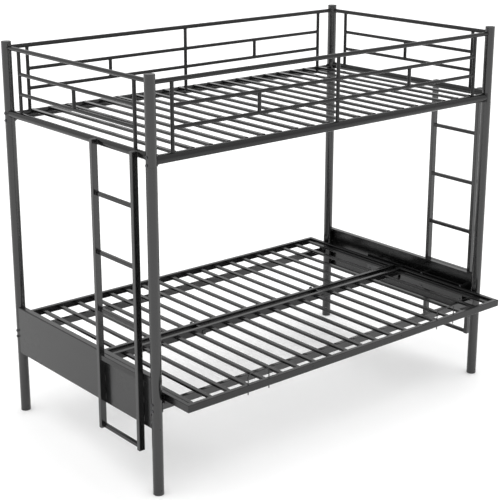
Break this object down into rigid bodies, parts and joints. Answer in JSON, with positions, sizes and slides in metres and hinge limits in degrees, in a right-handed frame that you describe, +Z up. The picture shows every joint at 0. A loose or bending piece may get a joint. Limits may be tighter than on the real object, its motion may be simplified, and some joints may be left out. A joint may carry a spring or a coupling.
{
  "type": "bunk bed over folding futon",
  "caption": "Black steel-tube bunk bed with a slatted, railed upper deck, a ladder at each end and a folding slatted futon below.",
  "frame": {"origin": "on the floor, under the middle of the futon as it lies flat", "axes": "+X along the bed's length towards the right-hand ladder, +Y towards the back, +Z up"},
  "size_m": [2.045, 1.3326, 1.742],
  "materials": {
    "black_powder_coat": "fine satin powder coat on steel tube and sheet",
    "black_plastic": "moulded, fine grain",
    "black_nylon": "turned nylon bush",
    "black_oxide_steel": "blackened bolt, rivet or stud"
  },
  "bodies": {
    "bunk_frame": {"back_guard_rails": "black_powder_coat", "back_guard_uprights": "black_powder_coat", "back_left_lower_post": "black_powder_coat", "back_left_upper_post": "black_powder_coat", "back_lower_stretcher": "black_powder_coat", "back_right_lower_post": "black_powder_coat", "back_right_upper_post": "black_powder_coat", "deck_back_rail": "black_powder_coat", "deck_front_rail": "black_powder_coat", "deck_left_rail": "black_powder_coat", "deck_rail_bolts": "black_oxide_steel", "deck_right_rail": "black_powder_coat", "deck_slats": "black_powder_coat", "front_guard_rails": "black_powder_coat", "front_guard_uprights": "black_powder_coat", "front_left_lower_post": "black_powder_coat", "front_left_upper_post": "black_powder_coat", "front_lower_stretcher": "black_powder_coat", "front_right_lower_post": "black_powder_coat", "front_right_upper_post": "black_powder_coat", "guide_bolts": "black_oxide_steel", "guide_bosses": "black_powder_coat", "ladder_end_plugs": "black_plastic", "left_end_panel": "black_powder_coat", "left_guard_rails": "black_powder_coat", "left_guard_uprights": "black_powder_coat", "left_guide_plate": "black_powder_coat", "left_ladder_rungs": "black_powder_coat", "left_ladder_uprights": "black_powder_coat", "post_caps": "black_plastic", "post_feet": "black_plastic", "post_joint_sleeves": "black_powder_coat", "right_end_panel": "black_powder_coat", "right_guard_rails": "black_powder_coat", "right_guard_uprights": "black_powder_coat", "right_guide_plate": "black_powder_coat", "right_ladder_rungs": "black_powder_coat", "right_ladder_uprights": "black_powder_coat", "stretcher_bolts": "black_oxide_steel", "stretcher_glide_pads": "black_plastic"},
    "seat": {"seat_front_rail": "black_powder_coat", "seat_guide_bushes": "black_nylon", "seat_guide_studs": "black_oxide_steel", "seat_hinge_lugs": "black_powder_coat", "seat_hinge_rail": "black_powder_coat", "seat_hinge_straps": "black_powder_coat", "seat_mattress_hoops": "black_powder_coat", "seat_side_rails": "black_powder_coat", "seat_slats": "black_powder_coat", "hinge_pins": "black_oxide_steel"},
    "back": {"back_end_brackets": "black_powder_coat", "back_guide_bushes": "black_nylon", "back_guide_studs": "black_oxide_steel", "back_hinge_lugs": "black_powder_coat", "back_hinge_rail": "black_powder_coat", "back_side_rails": "black_powder_coat", "back_slats": "black_powder_coat", "back_top_rail": "black_powder_coat"}
  },
  "joints": [
    {"name": "seat_slide", "type": "slide", "parent": "bunk_frame", "child": "seat", "axis": [0, 1, 0], "range_m": [0, 0.14]},
    {"name": "back_fold", "type": "hinge", "parent": "seat", "child": "back", "pos_m": [0, 0, 0.428], "axis": [1, 0, 0], "range_deg": [0, 75.1]}
  ],
  "couplings": [
    {"joint": "back_fold", "follows": "seat_slide", "rad_per_m": 9.35}
  ]
}
